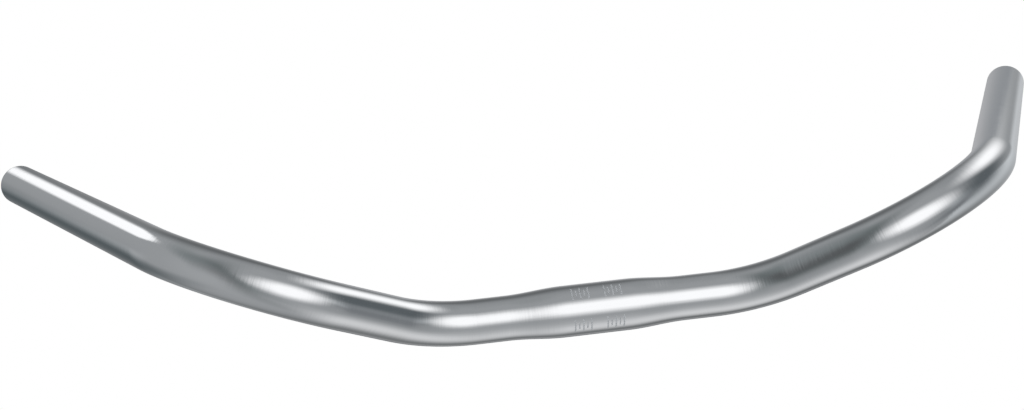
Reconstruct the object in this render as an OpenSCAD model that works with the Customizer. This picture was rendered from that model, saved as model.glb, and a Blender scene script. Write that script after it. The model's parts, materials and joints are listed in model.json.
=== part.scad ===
// City bike handlebar: one aluminium tube, swaged on both sides of the clamp zone and bent twice
// on each side. The clamp zone lies along X about the origin, the grips sweep back towards +Y,
// and the whole bar is turned about X until the grips lie level, with +Z up.

/* [Tube] */
// Outside diameter of the tube, in the bends and under the grips
tube_d = 22.2; // [20:0.1:24]
// Wall thickness, the same along the whole tube
wall = 2.2; // [1.5:0.1:3]
// How far each face of the wall is drawn in through a bend
bend_draw = 0.02; // [0.01:0.01:0.05]
// Depth of the broken edges at the open ends
deburr = 0.4; // [0.2:0.1:0.6]

/* [Clamp zone] */
// Diameter of the thick middle that the stem clamps
clamp_d = 25.4; // [24.5:0.1:28]
// Length of the middle at its full diameter
clamp_length = 31; // [20:1:60]
// Length of each swaged taper, from the clamp zone down to the tube
taper_length = 28.5; // [15:0.5:40]
// Number of bands that one taper's curve is made of
taper_bands = 12; // [8:1:16]
// Plain straight tube between a taper and the first bend
taper_to_bend = 15; // [5:1:40]

/* [Bends] */
// Radius of every bend at the tube's centreline, three tube diameters on this bar
bend_r = 66.6; // [55:0.6:90]
// Angle of the first bend, which leads forward and up from the clamp zone
first_bend = 37; // [25:1:45]
// Straight tube between the two bends of a side
between_bends = 31; // [10:1:60]
// How far the tube is turned about itself between the two bends
plane_turn = 141; // [130:1:155]
// Angle of the second bend, which sweeps the grip back
second_bend = 92; // [75:1:100]
// Length of the straight grip, from the second bend to the open end
grip_length = 200; // [120:5:230]

/* [Hidden] */
$fn = 96;

// How far a straight length runs into the bend beside it
lap = 0.2;

tube_r = tube_d / 2;
bore_r = tube_r - wall;
first_bend_at = clamp_length / 2 + taper_length + taper_to_bend;

// The grip's direction across the clamp axis, along the first bend's plane and square to it
grip_along = cos(second_bend) * sin(first_bend) + sin(second_bend) * cos(plane_turn) * cos(first_bend);
grip_square = sin(second_bend) * sin(plane_turn);
// How far the bar is turned about the clamp axis, so that the grips lie level
level_turn = atan2(grip_square, grip_along);

// Outside radius at a distance from the middle: a cosine eases the clamp zone down to the tube
function swaged_r(x) =
    let (along = (abs(x) - clamp_length / 2) / taper_length)
    tube_r + (clamp_d / 2 - tube_r) * (1 + cos(180 * max(0, min(1, along)))) / 2;

// Places along one side where the swaged outline changes slope
swage_stops = concat(
    [for (band = [0 : taper_bands]) clamp_length / 2 + taper_length * band / taper_bands],
    [first_bend_at + lap]
);

// A tube wall about the X axis, from its outline: [radius, distance along X] points
module turned(outline) {
    rotate([0, 90, 0])
        rotate_extrude()
            polygon(outline);
}

// The straight middle: clamp zone, a taper on each side and the plain tube up to the first bends
module swaged_middle() {
    last = len(swage_stops) - 1;
    stops = concat([for (i = [last : -1 : 0]) -swage_stops[i]], swage_stops);
    outside = [for (x = stops) [swaged_r(x), x]];
    inside = [for (i = [len(stops) - 1 : -1 : 0]) [swaged_r(stops[i]) - wall, stops[i]]];
    turned(concat(outside, inside));
}

// The straight tube between two bends, which reaches a lap into each
module link_tube() {
    turned([
        [bore_r, -lap],
        [tube_r, -lap],
        [tube_r, between_bends + lap],
        [bore_r, between_bends + lap]
    ]);
}

// The straight grip, whose open end has its outer and inner edges broken
module grip_tube() {
    turned([
        [bore_r, -lap],
        [tube_r, -lap],
        [tube_r, grip_length - deburr],
        [tube_r - deburr, grip_length],
        [bore_r + deburr, grip_length],
        [bore_r, grip_length - deburr]
    ]);
}

// One bend, from +X towards +Y, with what follows it placed at its far end
module bend(angle) {
    translate([0, bend_r, 0]) {
        rotate_extrude(angle = angle, start = -90)
            translate([bend_r, 0])
                difference() {
                    circle(r = tube_r - bend_draw);
                    circle(r = bore_r + bend_draw);
                }
        rotate([0, 0, angle])
            translate([0, -bend_r, 0])
                children();
    }
}

// One side of the bar beyond the middle, in the order in which it is bent
module arm() {
    bend(first_bend) {
        link_tube();
        translate([between_bends, 0, 0])
            rotate([-plane_turn, 0, 0])
                bend(second_bend)
                    grip_tube();
    }
}

module handlebar() {
    color("silver")
        rotate([level_turn, 0, 0]) {
            swaged_middle();
            for (side = [0, 1])
                mirror([side, 0, 0])
                    translate([first_bend_at, 0, 0])
                        arm();
        }
}

handlebar();
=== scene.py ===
# City bike handlebar: one bent aluminium tube, polished and anodised, dressed around its frame.
# The tube is drawn ring by ring along its straights and bends, as a bender feeds it, and each
# point keeps its place on the straight stock, so that the polish follows the bends.

import json
import math
from collections import namedtuple

import bmesh
import bpy
from bpy.props import FloatProperty
from bpy.props import FloatVectorProperty
from bpy.props import IntProperty
from bpy.props import PointerProperty
from mathutils import Matrix
from mathutils import Vector


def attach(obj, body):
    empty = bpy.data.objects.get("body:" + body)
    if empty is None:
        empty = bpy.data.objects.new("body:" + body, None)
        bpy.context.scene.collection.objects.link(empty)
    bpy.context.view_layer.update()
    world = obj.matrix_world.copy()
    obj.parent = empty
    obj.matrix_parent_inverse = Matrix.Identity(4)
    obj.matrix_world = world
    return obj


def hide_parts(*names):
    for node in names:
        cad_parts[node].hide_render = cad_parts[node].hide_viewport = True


bl_info = {
    "name": "City Bike Handlebar",
    "version": (1, 0, 0),
    "blender": (4, 5, 0),
    "location": "3D View > Sidebar > Handlebar",
    "description": "Draws a bent handlebar tube, gives it its finish and sets a studio around it",
    "category": "Object",
}

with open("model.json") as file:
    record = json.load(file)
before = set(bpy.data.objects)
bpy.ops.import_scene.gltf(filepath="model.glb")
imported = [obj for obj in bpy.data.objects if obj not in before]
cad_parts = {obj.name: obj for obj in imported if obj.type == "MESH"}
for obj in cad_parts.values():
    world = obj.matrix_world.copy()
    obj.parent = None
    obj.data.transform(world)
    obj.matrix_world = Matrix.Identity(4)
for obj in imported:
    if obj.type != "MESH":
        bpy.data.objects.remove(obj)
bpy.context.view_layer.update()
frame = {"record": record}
MOUNTS = {mount["name"]: mount for mount in frame["record"]["mounts"]}

MM = 0.001

# Name of the attribute that holds each point's place on the straight stock
STOCK = "stock"
# The tube's three kinds of face, in the order of its material slots
OUTSIDE, BORE, RIM = range(3)
# A Mix node's inputs for its two values and for its two colours
VALUE_A, VALUE_B, COLOUR_A, COLOUR_B = 2, 3, 6, 7


def linear(hex_colour):
    """An sRGB hex colour as linear red, green, blue and alpha."""
    parts = [int(hex_colour[i:i + 2], 16) / 255 for i in (1, 3, 5)]
    return [c / 12.92 if c <= 0.04045 else ((c + 0.055) / 1.055) ** 2.4 for c in parts] + [1.0]


def eased(share):
    """A cosine from 0 to 1, level at both ends."""
    return (1 - math.cos(math.pi * share)) / 2


def mount_radius(name):
    """Radius of a mount's round wall, in metres."""
    return MOUNTS[name]["dims"]["r_mm"] * MM


class HandlebarTube(bpy.types.PropertyGroup):
    """Sizes of the tube, in the order in which it is swaged and bent"""

    tube_radius: FloatProperty(
        name="Tube radius",
        description="Outside radius in the bends and under the grips",
        default=mount_radius("left_grip_seat"),
        subtype="DISTANCE",
    )
    bore_radius: FloatProperty(
        name="Bore radius",
        description="Inside radius at the open ends",
        default=mount_radius("left_bar_end"),
        subtype="DISTANCE",
    )
    clamp_radius: FloatProperty(
        name="Clamp radius",
        description="Outside radius of the thick middle that the stem clamps",
        default=mount_radius("stem_clamp"),
        subtype="DISTANCE",
    )
    clamp_length: FloatProperty(
        name="Clamp length",
        description="Length of the middle at its full radius",
        default=MOUNTS["stem_clamp"]["dims"]["length_mm"] * MM,
        subtype="DISTANCE",
    )
    taper_length: FloatProperty(
        name="Taper length",
        description="Length of each swaged taper",
        default=28.5 * MM,
        subtype="DISTANCE",
    )
    taper_to_bend: FloatProperty(
        name="Taper to bend",
        description="Straight tube between a taper and the first bend",
        default=15 * MM,
        subtype="DISTANCE",
    )
    bend_radius: FloatProperty(
        name="Bend radius",
        description="Radius of every bend at the tube's centreline",
        default=66.6 * MM,
        subtype="DISTANCE",
    )
    first_bend: FloatProperty(
        name="First bend",
        description="Angle of the bend that leads forward and up",
        default=math.radians(37),
        subtype="ANGLE",
    )
    between_bends: FloatProperty(
        name="Between bends",
        description="Straight tube between the two bends of a side",
        default=31 * MM,
        subtype="DISTANCE",
    )
    plane_turn: FloatProperty(
        name="Plane turn",
        description="How far the tube is turned about itself between the two bends",
        default=math.radians(141),
        subtype="ANGLE",
    )
    second_bend: FloatProperty(
        name="Second bend",
        description="Angle of the bend that sweeps the grip back",
        default=math.radians(92),
        subtype="ANGLE",
    )
    grip_length: FloatProperty(
        name="Grip length",
        description="Straight tube from the second bend to the open end",
        default=200 * MM,
        subtype="DISTANCE",
    )
    inset: FloatProperty(
        name="Inset",
        description="How far the outside lies within the frame's, to keep a round tube in its box",
        default=0.07 * MM,
        subtype="DISTANCE",
    )
    edge_break: FloatProperty(
        name="Edge break",
        description="How far the edges of the sawn ends are rounded over",
        default=0.5 * MM,
        subtype="DISTANCE",
    )
    sides: IntProperty(
        name="Sides",
        description="Points in one ring of the tube",
        default=112,
        min=24,
    )


class HandlebarFinish(bpy.types.PropertyGroup):
    """Colours and roughness of the metal"""

    film_colour: FloatVectorProperty(
        name="Anodised outside",
        description="Colour of the polished metal under its clear film",
        default=linear("#F5F5F5"),
        size=4,
        subtype="COLOR",
    )
    bore_colour: FloatVectorProperty(
        name="Drawn bore",
        description="Colour of the unpolished metal inside the tube",
        default=linear("#C4C5C7"),
        size=4,
        subtype="COLOR",
    )
    mark_colour: FloatVectorProperty(
        name="Etched marks",
        description="Colour of the frosted ticks in the clamp zone",
        default=linear("#F4F5F6"),
        size=4,
        subtype="COLOR",
    )
    film_roughness: FloatProperty(
        name="Outside roughness",
        description="Roughness of the polished metal under its clear film",
        default=0.1,
        min=0.0,
        max=1.0,
    )
    bore_roughness: FloatProperty(
        name="Bore roughness",
        description="Roughness of the unpolished metal inside the tube",
        default=0.58,
        min=0.0,
        max=1.0,
    )
    end_roughness: FloatProperty(
        name="End roughness",
        description="Roughness of the sawn ends",
        default=0.32,
        min=0.0,
        max=1.0,
    )
    mark_roughness: FloatProperty(
        name="Mark roughness",
        description="Roughness of the frosted ticks in the clamp zone",
        default=0.75,
        min=0.0,
        max=1.0,
    )


class HandlebarStudio(bpy.types.PropertyGroup):
    """Sizes and levels of the studio around the bar"""

    floor_drop: FloatProperty(
        name="Floor drop",
        description="Height of the clamp zone above the floor",
        default=1.25,
        subtype="DISTANCE",
    )
    floor_radius: FloatProperty(
        name="Floor radius",
        description="Radius at which the floor has faded into the white background",
        default=1.4,
        subtype="DISTANCE",
    )
    tent_radius: FloatProperty(
        name="Tent radius",
        description="Distance from the clamp zone to the cloth that the metal reflects",
        default=1.2,
        subtype="DISTANCE",
    )
    tent_colour: FloatVectorProperty(
        name="Tent colour",
        description="Colour of the plain cloth between its lit and shaded patches",
        default=linear("#999C9F"),
        size=4,
        subtype="COLOR",
    )
    card_distance: FloatProperty(
        name="Card distance",
        description="Distance from the clamp zone to the card that stands inside the tent",
        default=0.42,
        subtype="DISTANCE",
    )
    window_wide: FloatProperty(
        name="Window half width",
        description="Angle from the middle of the tent's rear window to its side edges",
        default=math.radians(14),
        subtype="ANGLE",
    )
    window_high: FloatProperty(
        name="Window half height",
        description="Angle from the middle of the tent's rear window to its upper and lower edges",
        default=math.radians(5),
        subtype="ANGLE",
    )
    ambient: FloatProperty(
        name="Ambient light",
        description="Strength of the even light that falls on the floor",
        default=0.72,
        min=0.0,
    )
    lamp_height: FloatProperty(
        name="Lamp height",
        description="Height of the lamp over the clamp zone",
        default=1.3,
        subtype="DISTANCE",
    )
    lamp_size: FloatProperty(
        name="Lamp size",
        description="Diameter of the round lamp",
        default=1.4,
        subtype="DISTANCE",
    )
    lamp_watts: FloatProperty(
        name="Lamp watts",
        description="Power of the lamp, in watts",
        default=18,
        min=0.0,
    )


# A soft-edged round patch of cloth: heading and height of its middle in degrees, its half sizes as
# shares of its distance from the clamp zone, its tilt in degrees, the share of it over which its edge
# fades, its colour, and how many times as bright as that it glows. A heading of 0 is in front of the
# bar, and 90 is on the rider's left.
Patch = namedtuple("Patch", "name heading height wide high tilt fade colour glow")
# Half depth of a patch, as a share of its distance: it ends at the cloth across from its middle
PATCH_DEPTH = 2

# The patches of the tent's cloth, of which later ones lie over earlier ones
PATCHES = (
    Patch("rear_strip", 135, -32.5, 1.35, 0.6, 15, 0.15, "#D5DADE", 1),
    Patch("table_glow", 140, -55, 1.35, 0.7, -55, 0.8, "#FCFDFF", 1.1),
    Patch("table_shade_left", -165, -5, 1.4, 0.45, 25, 0.6, "#4A5458", 1),
    Patch("table_shade_right", 155, -50, 1, 1.4, -85, 0.7, "#66696B", 1),
    Patch("rear_shade", 175, 5, 0.55, 1.15, 10, 0.5, "#66696B", 1),
    Patch("left_shade", -45, 27.5, 0.4, 1.3, -10, 0.8, "#5A6263", 1),
    Patch("right_shade", 80, 25, 0.65, 1.2, 40, 0.9, "#5A6064", 1),
    Patch("key_panel", 15, 25, 0.65, 0.7, 35, 0.7, "#FCFDFF", 1.1),
    Patch("rear_panel_right", 122.5, 40, 0.75, 0.4, 45, 0.85, "#FCFDFF", 1.1),
    Patch("rear_panel_left", -140, 27.5, 0.4, 0.18, -45, 0.4, "#FCFDFF", 1.1),
    Patch("window_frame", 167.5, 2.5, 0.5, 0.25, 15, 0.1, "#80858A", 1),
    Patch("window_apron", 170, -20, 0.85, 0.9, 10, 0.9, "#BFBFC1", 1),
    Patch("window_sill", 170, -30, 0.6, 0.3, 0, 0.6, "#565C60", 1),
    Patch("left_wall", -50, 35, 0.35, 1.3, -40, 0.8, "#737A7C", 1),
    Patch("front_shade", -45, 17.5, 0.4, 0.8, -10, 0.9, "#585B5D", 1),
    Patch("side_shade", 57.5, -10, 0.22, 0.5, 20, 0.95, "#74787C", 1),
)

# A card of grey cloth that stands inside the tent, close to one side of the bar. It glows with its
# own grey light, which only the metal's reflections show
CARD = Patch("card", -62.5, 5, 0.45, 0.75, -15, 0.9, "#A0A3A6", 1)


class TubeDrawer:
    """A hand that feeds the tube on and bends it, and leaves a ring of points at each step"""

    def __init__(self, mesh, hand, radius, sides):
        self.mesh = mesh
        self.hand = hand
        self.radius = radius
        self.along = 0.0
        self.stock = mesh.verts.layers.float_vector.new(STOCK)
        across = hand @ Matrix.Rotation(math.radians(90), 4, "Y")
        ring = bmesh.ops.create_circle(mesh, segments=sides, radius=radius, matrix=across)["verts"]
        self.rim = list(mesh.edges)
        self.note_stock(ring)

    def note_stock(self, ring):
        """Each point keeps its place on the straight stock: along it, and across it."""
        for vert in ring:
            place = self.hand.inverted() @ vert.co
            vert[self.stock] = Vector((self.along, place.y, place.z))

    def draw(self, move, length, radius):
        """One step: the last ring is drawn out, carried along by the move and swaged to radius."""
        drawn = bmesh.ops.extrude_edge_only(self.mesh, edges=self.rim)["geom"]
        ring = [e for e in drawn if isinstance(e, bmesh.types.BMVert)]
        self.rim = [e for e in drawn if isinstance(e, bmesh.types.BMEdge) and e.is_boundary]
        swage = radius / self.radius
        hand = self.hand @ move
        step = hand @ Matrix.Diagonal((1, swage, swage, 1)) @ self.hand.inverted()
        bmesh.ops.transform(self.mesh, matrix=step, verts=ring)
        self.hand = hand
        self.radius = radius
        self.along += length
        self.note_stock(ring)

    def feed(self, length, steps=1):
        """Straight tube."""
        for _ in range(steps):
            self.draw(Matrix.Translation((length / steps, 0, 0)), length / steps, self.radius)

    def taper(self, length, radius, steps):
        """A swaged taper, eased at both ends."""
        start = self.radius
        for step in range(1, steps + 1):
            here = start + (radius - start) * eased(step / steps)
            self.draw(Matrix.Translation((length / steps, 0, 0)), length / steps, here)

    def bend(self, bend_radius, angle, plane, step_angle):
        """A bend about a die beside the tube, in a plane that is turned about the tube's axis."""
        steps = math.ceil(angle / step_angle)
        facing = Matrix.Rotation(plane, 4, "X")
        die = Matrix.Translation((0, bend_radius, 0))
        turn = Matrix.Rotation(angle / steps, 4, "Z")
        move = facing @ die @ turn @ die.inverted() @ facing.inverted()
        for _ in range(steps):
            self.draw(move, bend_radius * angle / steps, self.radius)


def level_turn(tube):
    """How far the whole bar is turned about the clamp's axis, so that the grips lie level."""
    bent, swept, turned = tube.first_bend, tube.second_bend, tube.plane_turn
    lead = math.cos(swept) * math.sin(bent) + math.sin(swept) * math.cos(turned) * math.cos(bent)
    side = math.sin(swept) * math.sin(turned)
    return math.atan2(side, lead)


def draw_half(mesh, tube):
    """The outer skin from the middle of the clamp zone to one open end."""
    step_angle = math.radians(1.5)
    # The last ring but one stands close to the end, so that the rounded edge shades crisply
    end_land = 1.2 * MM
    hand = Matrix.Rotation(level_turn(tube), 4, "X")
    drawer = TubeDrawer(mesh, hand, tube.clamp_radius - tube.inset, tube.sides)
    drawer.feed(tube.clamp_length / 2, steps=4)
    drawer.taper(tube.taper_length, tube.tube_radius - tube.inset, steps=20)
    drawer.feed(tube.taper_to_bend, steps=3)
    drawer.bend(tube.bend_radius, tube.first_bend, 0, step_angle)
    drawer.feed(tube.between_bends, steps=5)
    drawer.bend(tube.bend_radius, tube.second_bend, -tube.plane_turn, step_angle)
    drawer.feed(tube.grip_length - end_land, steps=20)
    drawer.feed(end_land)


def mirror_half(mesh):
    """The other side, joined at the middle, whose places on the stock run the other way."""
    stock = mesh.verts.layers.float_vector[STOCK]
    half = mesh.verts[:] + mesh.edges[:] + mesh.faces[:]
    bmesh.ops.mirror(mesh, geom=half, matrix=Matrix.Identity(4), merge_dist=0.01 * MM, axis="X")
    for vert in mesh.verts:
        if vert.co.x < 0:
            vert[stock].x = -vert[stock].x


def give_wall(mesh, tube):
    """The wall, grown inwards from the outer skin, with the edges of its sawn ends rounded."""
    wall = tube.tube_radius - tube.inset - tube.bore_radius
    stock = mesh.verts.layers.float_vector[STOCK]
    bmesh.ops.recalc_face_normals(mesh, faces=mesh.faces)
    outer = set(mesh.verts)
    bmesh.ops.solidify(mesh, geom=mesh.faces[:], thickness=wall)
    for vert in set(mesh.verts) - outer:
        narrowed = 1 - wall / vert[stock].yz.length
        vert[stock].yz = vert[stock].yz * narrowed
    for face in mesh.faces:
        on_outer = [vert in outer for vert in face.verts]
        face.material_index = OUTSIDE if all(on_outer) else RIM if any(on_outer) else BORE
        face.smooth = True
    kinds = {e: {face.material_index for face in e.link_faces} for e in mesh.edges}
    corners = [e for e in mesh.edges if RIM in kinds[e] and len(kinds[e]) == 2]
    bmesh.ops.bevel(
        mesh,
        geom=corners,
        offset=tube.edge_break,
        offset_type="OFFSET",
        segments=3,
        profile=0.5,
        affect="EDGES",
        material=-1,
    )


def add(tree, kind, inputs=None, **values):
    """Adds a node, with its settings and with a value or another node's output for each input."""
    node = tree.nodes.new(kind)
    for name, value in values.items():
        setattr(node, name, value)
    for name, value in (inputs or {}).items():
        if isinstance(value, bpy.types.NodeSocket):
            tree.links.new(value, node.inputs[name])
        else:
            node.inputs[name].default_value = value
    return node


def new_material(name):
    """An empty node material, its tree and its output node."""
    material = bpy.data.materials.new(name)
    material.use_nodes = True
    material.node_tree.nodes.clear()
    output = add(material.node_tree, "ShaderNodeOutputMaterial")
    return material, material.node_tree, output


def grain(tree, place, size, detail):
    """Fine unevenness whose features have the given size along the tube and across it."""
    scaled = add(tree, "ShaderNodeMapping", {"Vector": place, "Scale": size}, vector_type="TEXTURE")
    inputs = {"Vector": scaled.outputs[0], "Scale": 1.0, "Detail": detail, "Roughness": 0.6}
    return add(tree, "ShaderNodeTexNoise", inputs).outputs[0]


def summed(tree, base, *parts):
    """A base value with each noise added about its middle, in the given strength."""
    total = base
    for noise, strength in parts:
        centred = add(tree, "ShaderNodeMath", {0: noise, 1: 0.5}, operation="SUBTRACT").outputs[0]
        inputs = {0: centred, 1: strength, 2: total}
        total = add(tree, "ShaderNodeMath", inputs, operation="MULTIPLY_ADD").outputs[0]
    return total


def clamp_marks(tree):
    """1 on the frosted ticks beside the middle, by which a rider centres the bar in its stem.

    Two rows of ticks run along the clamp zone, one above its front and one below, and every second
    tick is a long one.
    """
    pitch = 2 * MM
    half_tick = 0.35 * MM
    rows = (math.radians(58), math.radians(-20))
    place = add(tree, "ShaderNodeTexCoord").outputs["Object"]
    x, y, z = add(tree, "ShaderNodeSeparateXYZ", {0: place}).outputs
    front = add(tree, "ShaderNodeMath", {0: y, 1: -1.0}, operation="MULTIPLY").outputs[0]
    around = add(tree, "ShaderNodeMath", {0: z, 1: front}, operation="ARCTAN2").outputs[0]
    aside = add(tree, "ShaderNodeMath", {0: x}, operation="ABSOLUTE").outputs[0]
    # 1 beside the middle, where the ticks are, and 0 elsewhere
    inputs = {0: aside, 1: 4 * pitch, 2: 2 * pitch + half_tick}
    zone = add(tree, "ShaderNodeMath", inputs, operation="COMPARE").outputs[0]
    marks = None
    for every, half_length in ((pitch, math.radians(9)), (2 * pitch, math.radians(16))):
        inputs = {0: aside, 1: every / 2}
        from_tick = add(tree, "ShaderNodeMath", inputs, operation="PINGPONG").outputs[0]
        inputs = {0: from_tick, 1: 0.0, 2: half_tick}
        lines = add(tree, "ShaderNodeMath", inputs, operation="COMPARE").outputs[0]
        for row in rows:
            inputs = {0: around, 1: row, 2: half_length}
            band = add(tree, "ShaderNodeMath", inputs, operation="COMPARE").outputs[0]
            inputs = {0: lines, 1: band}
            ticks = add(tree, "ShaderNodeMath", inputs, operation="MULTIPLY").outputs[0]
            if marks:
                inputs = {0: marks, 1: ticks}
                ticks = add(tree, "ShaderNodeMath", inputs, operation="MAXIMUM").outputs[0]
            marks = ticks
    return add(tree, "ShaderNodeMath", {0: marks, 1: zone}, operation="MULTIPLY").outputs[0]


def polished_anodised_aluminium(finish):
    """Aluminium tube, buffed on a belt and anodised clear.

    The film leaves the reflections soft-edged, and the belt leaves faint lines round the tube.
    """
    material, tree, output = new_material("polished_anodised_aluminium")
    place = add(tree, "ShaderNodeAttribute", attribute_name=STOCK).outputs["Vector"]
    # A belt leaves lines 0.1 mm apart, drawn at 1.1 mm so that they show
    belt = grain(tree, place, (1.1 * MM, 24 * MM, 24 * MM), 3.0)
    # The drawing die leaves long streaks that the belt hasn't quite removed
    streaks = grain(tree, place, (140 * MM, 1.8 * MM, 1.8 * MM), 2.0)
    # The film's thickness wanders over a few centimetres, and it takes up to 3% of the light
    cloud = grain(tree, place, (35 * MM, 22 * MM, 22 * MM), 3.0)
    dimmed = [c * 0.97 for c in finish.film_colour[:3]] + [1.0]
    marks = clamp_marks(tree)
    roughness = summed(tree, finish.film_roughness, (belt, 0.08), (streaks, 0.1), (cloud, 0.1))
    inputs = {"Factor": marks, VALUE_A: roughness, VALUE_B: finish.mark_roughness}
    frosted = add(tree, "ShaderNodeMix", inputs).outputs[0]
    inputs = {"Factor": cloud, COLOUR_A: finish.film_colour, COLOUR_B: dimmed}
    film = add(tree, "ShaderNodeMix", inputs, data_type="RGBA").outputs[2]
    inputs = {"Factor": marks, COLOUR_A: film, COLOUR_B: finish.mark_colour}
    colour = add(tree, "ShaderNodeMix", inputs, data_type="RGBA").outputs[2]
    height = summed(tree, 0.0, (belt, 0.6), (streaks, 0.4))
    bump = add(tree, "ShaderNodeBump", {"Strength": 1.0, "Distance": 0.05 * MM, "Height": height})
    shader = add(
        tree,
        "ShaderNodeBsdfPrincipled",
        {"Base Color": colour, "Metallic": 1.0, "Roughness": frosted, "Normal": bump.outputs[0]},
    )
    tree.links.new(shader.outputs[0], output.inputs[0])
    return material


def drawn_aluminium(finish):
    """The tube's bore, as it came from the drawing die: duller, with lines along the tube."""
    material, tree, output = new_material("drawn_aluminium")
    place = add(tree, "ShaderNodeAttribute", attribute_name=STOCK).outputs["Vector"]
    # Die lines 0.2 mm apart, drawn at 0.9 mm so that they show
    lines = grain(tree, place, (60 * MM, 0.9 * MM, 0.9 * MM), 3.0)
    roughness = summed(tree, finish.bore_roughness, (lines, 0.2))
    bump = add(tree, "ShaderNodeBump", {"Strength": 1.0, "Distance": 0.02 * MM, "Height": lines})
    shader = add(
        tree,
        "ShaderNodeBsdfPrincipled",
        {
            "Base Color": finish.bore_colour,
            "Metallic": 1.0,
            "Roughness": roughness,
            "Normal": bump.outputs[0],
        },
    )
    tree.links.new(shader.outputs[0], output.inputs[0])
    return material


def sawn_aluminium(finish):
    """The tube's ends, sawn and deburred: bright, with a fine grain that the saw left."""
    material, tree, output = new_material("sawn_aluminium")
    place = add(tree, "ShaderNodeTexCoord").outputs["Object"]
    # Saw lines 0.15 mm apart, drawn at 0.4 mm so that they show
    lines = grain(tree, place, (6 * MM, 6 * MM, 0.4 * MM), 2.0)
    roughness = summed(tree, finish.end_roughness, (lines, 0.2))
    bump = add(tree, "ShaderNodeBump", {"Strength": 1.0, "Distance": 0.02 * MM, "Height": lines})
    shader = add(
        tree,
        "ShaderNodeBsdfPrincipled",
        {
            "Base Color": finish.film_colour,
            "Metallic": 1.0,
            "Roughness": roughness,
            "Normal": bump.outputs[0],
        },
    )
    tree.links.new(shader.outputs[0], output.inputs[0])
    return material


def new_object(context, name, mesh, materials):
    """An object at the origin, from a bmesh that already lies in its place."""
    data = bpy.data.meshes.new(name)
    mesh.to_mesh(data)
    mesh.free()
    for material in materials:
        data.materials.append(material)
    made = bpy.data.objects.new(name, data)
    context.scene.collection.objects.link(made)
    return made


class HANDLEBAR_OT_tube(bpy.types.Operator):
    """Draws the tube in place of the plain frame and gives it its finish"""

    bl_idname = "handlebar.tube"
    bl_label = "Draw the tube"

    def execute(self, context):
        tube = context.scene.handlebar_tube
        finish = context.scene.handlebar_finish
        mesh = bmesh.new()
        draw_half(mesh, tube)
        mirror_half(mesh)
        give_wall(mesh, tube)
        metals = (
            polished_anodised_aluminium(finish),
            drawn_aluminium(finish),
            sawn_aluminium(finish),
        )
        piece = new_object(context, "bent_tube", mesh, metals)
        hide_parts("handlebar")
        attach(piece, "root")
        return {"FINISHED"}


def heading_direction(heading, height):
    """The direction with that heading and height, in degrees, as seen from the clamp zone."""
    turn, rise = math.radians(heading), math.radians(height)
    return Vector((
        math.sin(turn) * math.cos(rise),
        -math.cos(turn) * math.cos(rise),
        math.sin(rise),
    ))


def facing_axes(outwards, tilt):
    """Axes for one who looks outwards: to their right, up, and back to the bar, tilted in degrees."""
    right = outwards.cross(Vector((0, 0, 1))).normalized()
    axes = Matrix((right, right.cross(outwards), -outwards)).transposed()
    return axes @ Matrix.Rotation(math.radians(tilt), 3, "Z")


def shows_background(tree):
    """1 for rays that see a white background: the camera's, and those off metal or through glass."""
    path = add(tree, "ShaderNodeLightPath").outputs
    inputs = {0: path["Is Camera Ray"], 1: path["Is Glossy Ray"]}
    seen = add(tree, "ShaderNodeMath", inputs, operation="MAXIMUM").outputs[0]
    inputs = {0: seen, 1: path["Is Transmission Ray"]}
    return add(tree, "ShaderNodeMath", inputs, operation="MAXIMUM").outputs[0]


def patch_share(tree, patch, radius):
    """1 in the middle of a patch on a ball of cloth with that radius, fading to 0 at its edge."""
    outwards = heading_direction(patch.heading, patch.height)
    inputs = {
        "Vector": add(tree, "ShaderNodeTexCoord").outputs["Object"],
        "Location": outwards * radius,
        "Rotation": facing_axes(outwards, patch.tilt).to_euler(),
        "Scale": Vector((patch.wide, patch.high, PATCH_DEPTH)) * radius,
    }
    mapped = add(tree, "ShaderNodeMapping", inputs, vector_type="TEXTURE", label=patch.name)
    inputs = {"Vector": mapped.outputs[0]}
    ball = add(tree, "ShaderNodeTexGradient", inputs, gradient_type="SPHERICAL")
    inputs = {"Value": ball.outputs[1], "From Max": patch.fade}
    share = add(tree, "ShaderNodeMapRange", inputs, interpolation_type="SMOOTHSTEP")
    return share.outputs[0]


def patch_light(patch):
    """The light that a patch gives, as linear red, green, blue and alpha."""
    return [c * patch.glow for c in linear(patch.colour)[:3]] + [1.0]


def tent_cloth(studio):
    """Grey cloth with soft-edged patches of light and shade, which only the metal sees."""
    material, tree, output = new_material("tent_cloth")
    material.cycles.emission_sampling = "NONE"
    cloth = studio.tent_colour
    for patch in PATCHES:
        share = patch_share(tree, patch, studio.tent_radius)
        inputs = {"Factor": share, COLOUR_A: cloth, COLOUR_B: patch_light(patch)}
        cloth = add(tree, "ShaderNodeMix", inputs, data_type="RGBA").outputs[2]
    glow = add(tree, "ShaderNodeEmission", {"Color": cloth})
    tree.links.new(glow.outputs[0], output.inputs[0])
    return material


def glowing_card_cloth(studio):
    """Grey cloth with soft edges that glows with its own light, past which the metal sees the tent.
    """
    material, tree, output = new_material("glowing_card_cloth")
    material.cycles.emission_sampling = "NONE"
    share = patch_share(tree, CARD, studio.card_distance)
    clear = add(tree, "ShaderNodeBsdfTransparent")
    # The card's grey is emitted light, not a colour lit by the lamp
    glow = add(tree, "ShaderNodeEmission", {"Color": patch_light(CARD)})
    mixed = add(tree, "ShaderNodeMixShader", {0: share, 1: clear.outputs[0], 2: glow.outputs[0]})
    tree.links.new(mixed.outputs[0], output.inputs[0])
    return material


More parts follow.
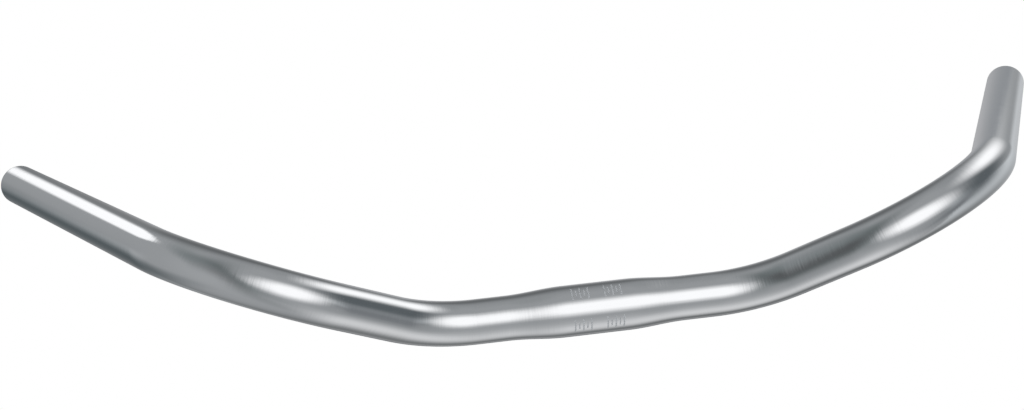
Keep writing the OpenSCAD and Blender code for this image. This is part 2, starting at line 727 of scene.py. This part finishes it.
def floor_paint(studio):
    """Matt white floor that keeps the bar's shadow and fades into the background at its rim."""
    material, tree, output = new_material("floor_paint")
    place = add(tree, "ShaderNodeTexCoord").outputs["Object"]
    inputs = {
        "Vector": place,
        "Location": (0, 0, -studio.floor_drop),
        "Scale": Vector((1, 1, 1)) * studio.floor_radius,
    }
    mapped = add(tree, "ShaderNodeMapping", inputs, vector_type="TEXTURE").outputs[0]
    # 1 in the middle of the floor and 0 at its rim
    inputs = {"Vector": mapped}
    middle = add(tree, "ShaderNodeTexGradient", inputs, gradient_type="SPHERICAL").outputs[1]
    # The fade starts at 0.4 of the floor's radius
    inputs = {"Value": middle, "From Min": 0.6, "From Max": 0.0}
    away = add(tree, "ShaderNodeMapRange", inputs, interpolation_type="SMOOTHSTEP").outputs[0]
    inputs = {0: away, 1: shows_background(tree)}
    faded = add(tree, "ShaderNodeMath", inputs, operation="MULTIPLY").outputs[0]
    paint = add(tree, "ShaderNodeBsdfDiffuse", {"Color": linear("#F7F7F7")})
    white = add(tree, "ShaderNodeEmission")
    mixed = add(tree, "ShaderNodeMixShader", {0: faded, 1: paint.outputs[0], 2: white.outputs[0]})
    tree.links.new(mixed.outputs[0], output.inputs[0])
    return material


# The camera's place in metres, how it is turned in degrees, and its lens in millimetres
CAMERA_PLACE = Vector((-0.12564, -0.74220, 0.24503))
CAMERA_HEADING = -6.819
CAMERA_HEIGHT = 14.17
CAMERA_ROLL = -4.489
CAMERA_LENS = 56.56


def camera_axes():
    """The camera's axes as a matrix's columns: to its right, up, and back from what it sees."""
    return facing_axes(-heading_direction(CAMERA_HEADING, CAMERA_HEIGHT), CAMERA_ROLL)


def place_camera(scene):
    """The camera at the photographed angle."""
    lens = bpy.data.cameras.new("studio_camera")
    lens.lens = CAMERA_LENS
    lens.clip_start = 10 * MM
    camera = bpy.data.objects.new("studio_camera", lens)
    camera.matrix_world = Matrix.Translation(CAMERA_PLACE) @ camera_axes().to_4x4()
    scene.collection.objects.link(camera)
    scene.camera = camera


def hang(context, name, mesh, material):
    """Hangs up cloth that only the metal sees."""
    cloth = new_object(context, name, mesh, [material])
    cloth.visible_camera = False
    cloth.visible_diffuse = False
    cloth.visible_shadow = False


def ball_of_cloth(radius):
    """A ball of cloth round the clamp zone."""
    mesh = bmesh.new()
    bmesh.ops.create_uvsphere(mesh, u_segments=96, v_segments=48, radius=radius)
    return mesh


def hang_tent(context, studio):
    """A ball of cloth with a window behind the bar, which shows the white background."""
    mesh = ball_of_cloth(studio.tent_radius)
    axes = camera_axes()
    edges = []
    for side, reach in ((axes.col[0], studio.window_wide), (axes.col[1], studio.window_high)):
        for across in (side, -side):
            edges.append(across * math.cos(reach) + axes.col[2] * math.sin(reach))
    for edge in edges:
        geom = mesh.verts[:] + mesh.edges[:] + mesh.faces[:]
        bmesh.ops.bisect_plane(mesh, geom=geom, dist=0.01 * MM, plane_co=(0, 0, 0), plane_no=edge)
    window = [f for f in mesh.faces if all(f.calc_center_median().dot(e) < 0 for e in edges)]
    bmesh.ops.delete(mesh, geom=window, context="FACES")
    hang(context, "tent", mesh, tent_cloth(studio))


def hang_card(context, studio):
    """A smaller ball inside the tent, clear but for the glowing card that is a part of it."""
    hang(context, "card", ball_of_cloth(studio.card_distance), glowing_card_cloth(studio))


def lay_floor(context, studio):
    """A round floor below the tent."""
    mesh = bmesh.new()
    laid = Matrix.Translation((0, 0, -studio.floor_drop))
    bmesh.ops.create_circle(
        mesh, cap_ends=True, segments=128, radius=studio.floor_radius, matrix=laid
    )
    new_object(context, "floor", mesh, [floor_paint(studio)])


def hang_lamp(context, studio):
    """A broad lamp over the bar, which gives the floor a soft shadow."""
    light = bpy.data.lights.new("overhead_lamp", "AREA")
    light.shape = "DISK"
    light.size = studio.lamp_size
    light.energy = studio.lamp_watts
    lamp = bpy.data.objects.new("overhead_lamp", light)
    lamp.location = (0, 0, studio.lamp_height)
    lamp.visible_glossy = False
    context.scene.collection.objects.link(lamp)


def light_world(scene, studio):
    """A white background, and an even light on what is matt."""
    world = bpy.data.worlds.new("studio_world")
    world.use_nodes = True
    tree = world.node_tree
    tree.nodes.clear()
    seen = shows_background(tree)
    inputs = {"Factor": seen, VALUE_A: studio.ambient, VALUE_B: 1.0}
    strength = add(tree, "ShaderNodeMix", inputs).outputs[0]
    sky = add(tree, "ShaderNodeBackground", {"Color": linear("#FFFFFF"), "Strength": strength})
    output = add(tree, "ShaderNodeOutputWorld")
    tree.links.new(sky.outputs[0], output.inputs[0])
    scene.world = world


class HANDLEBAR_OT_studio(bpy.types.Operator):
    """Sets the camera, the floor, the tent, its card and the lamp around the bar"""

    bl_idname = "handlebar.studio"
    bl_label = "Set the studio"

    def execute(self, context):
        studio = context.scene.handlebar_studio
        place_camera(context.scene)
        light_world(context.scene, studio)
        lay_floor(context, studio)
        hang_tent(context, studio)
        hang_card(context, studio)
        hang_lamp(context, studio)
        context.scene.view_settings.view_transform = "Standard"
        return {"FINISHED"}


class HANDLEBAR_PT_sidebar(bpy.types.Panel):
    """The tube's sizes, its finish and the studio"""

    bl_idname = "HANDLEBAR_PT_sidebar"
    bl_label = "Handlebar"
    bl_space_type = "VIEW_3D"
    bl_region_type = "UI"
    bl_category = "Handlebar"

    def draw(self, context):
        scene = context.scene
        parts = (
            (scene.handlebar_tube, None),
            (scene.handlebar_finish, HANDLEBAR_OT_tube),
            (scene.handlebar_studio, HANDLEBAR_OT_studio),
        )
        for group, operator in parts:
            box = self.layout.box()
            for name in group.__annotations__:
                box.prop(group, name)
            if operator:
                box.operator(operator.bl_idname)


GROUPS = {
    "handlebar_tube": HandlebarTube,
    "handlebar_finish": HandlebarFinish,
    "handlebar_studio": HandlebarStudio,
}
CLASSES = (*GROUPS.values(), HANDLEBAR_OT_tube, HANDLEBAR_OT_studio, HANDLEBAR_PT_sidebar)


def register():
    for kind in CLASSES:
        bpy.utils.register_class(kind)
    for name, group in GROUPS.items():
        setattr(bpy.types.Scene, name, PointerProperty(type=group))


def unregister():
    for name in GROUPS:
        delattr(bpy.types.Scene, name)
    for kind in reversed(CLASSES):
        bpy.utils.unregister_class(kind)


def main():
    """Draws the bar and sets the studio."""
    register()
    bpy.ops.handlebar.tube()
    bpy.ops.handlebar.studio()


if __name__ == "__main__":
    main()
